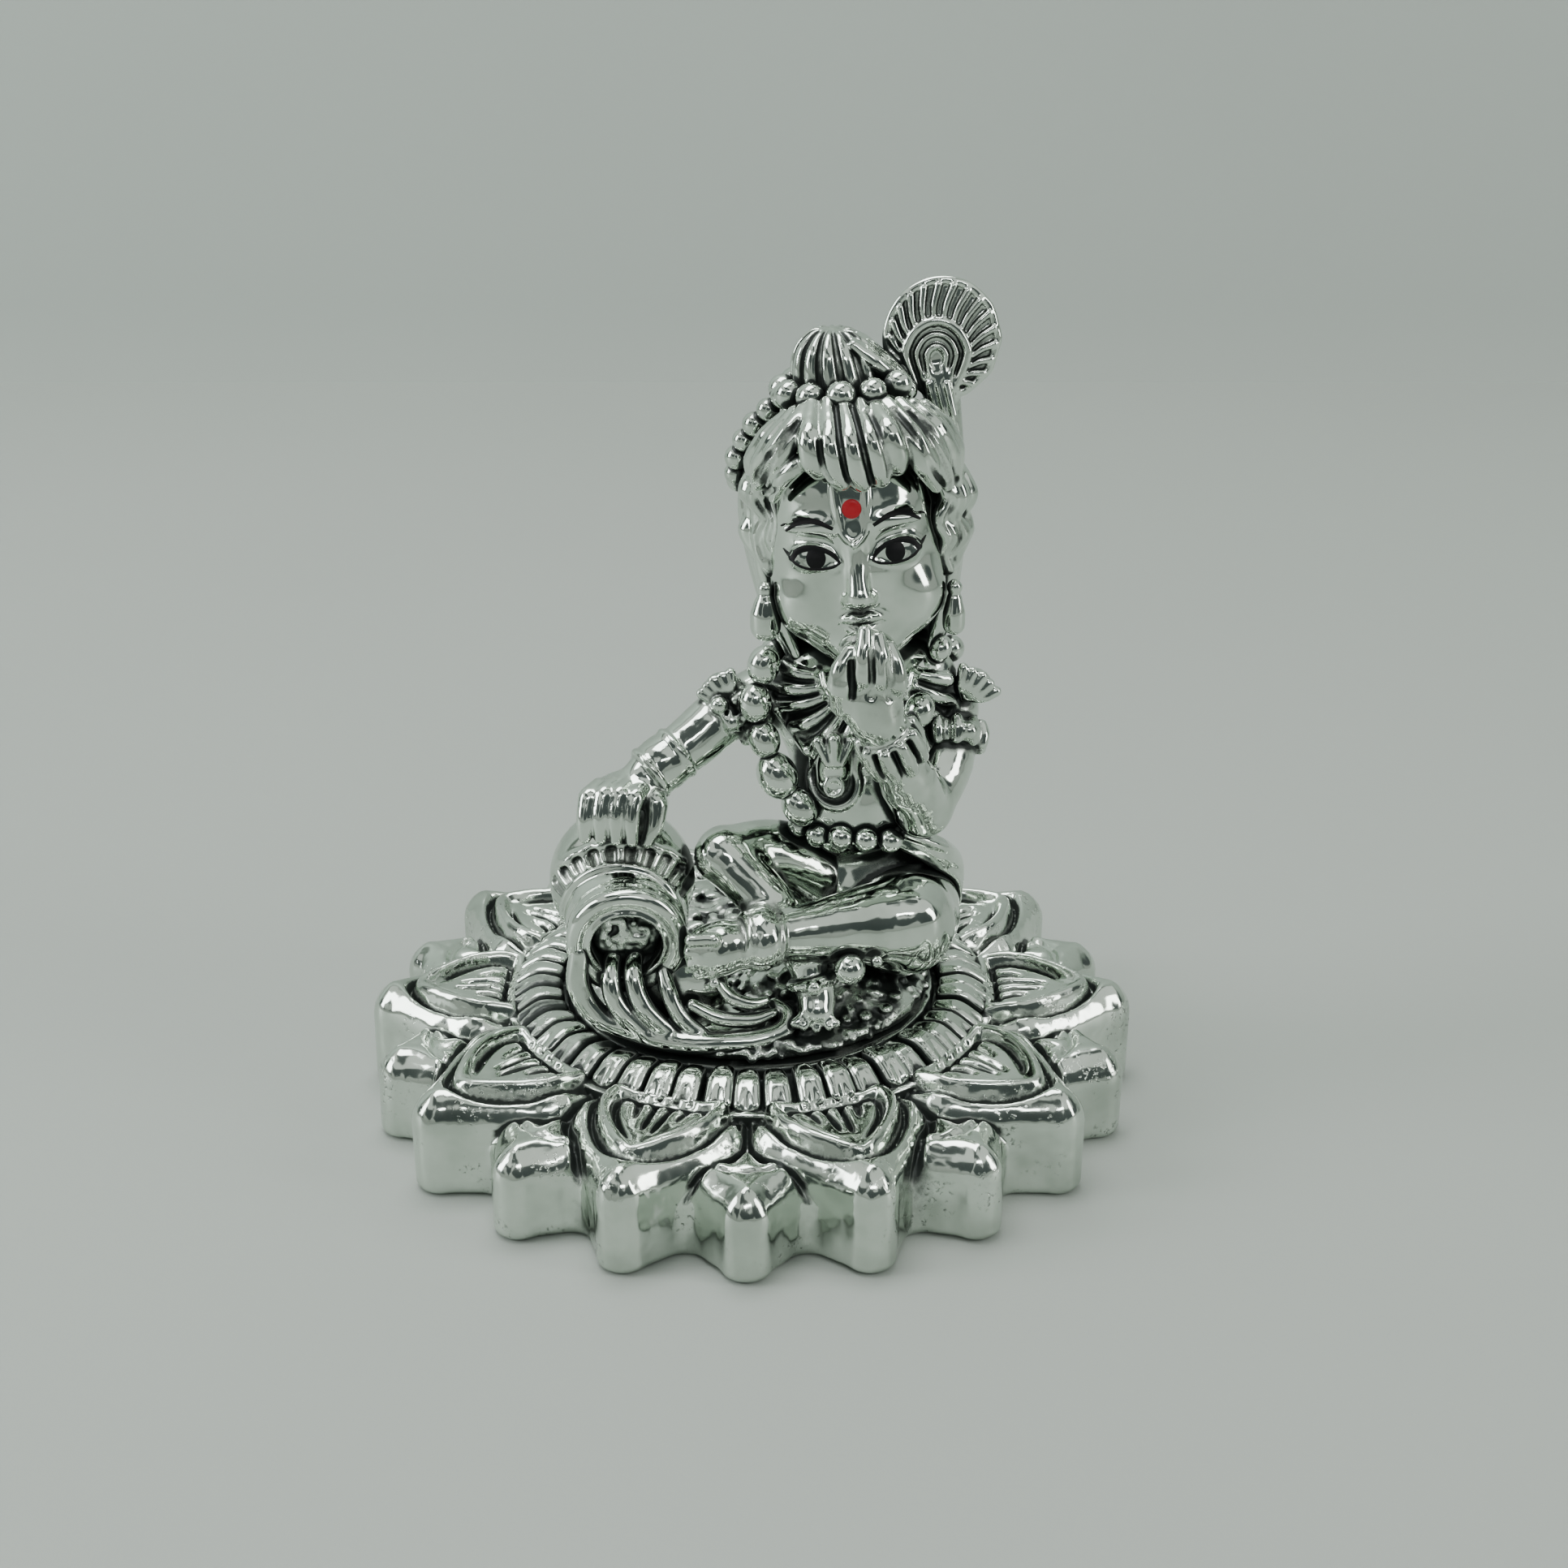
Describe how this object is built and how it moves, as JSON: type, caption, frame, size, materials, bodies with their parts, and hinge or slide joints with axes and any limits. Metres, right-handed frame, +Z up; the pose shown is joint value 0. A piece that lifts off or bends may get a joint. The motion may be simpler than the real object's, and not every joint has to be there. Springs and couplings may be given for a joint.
{
  "type": "laddu gopal idol",
  "caption": "Small polished silver idol of a child deity seated by a tipped butter pot, a hand at the mouth, a peacock feather in the topknot, on an open lotus plinth.",
  "frame": {"origin": "centre of the lotus plinth on its underside", "axes": "+Z up along the plinth's axis; the child faces -Y; +X is to the viewer's right, so the butter pot is towards -X"},
  "size_m": [0.0638, 0.0634, 0.0677],
  "materials": {
    "lotus_silver": "polished silver with dark oxidised hollows",
    "figure_silver": "polished silver with dark oxidised hollows"
  },
  "bodies": {
    "root": {"lotus_plinth": "lotus_silver", "child_with_butter_pot": "figure_silver"}
  },
  "joints": []
}
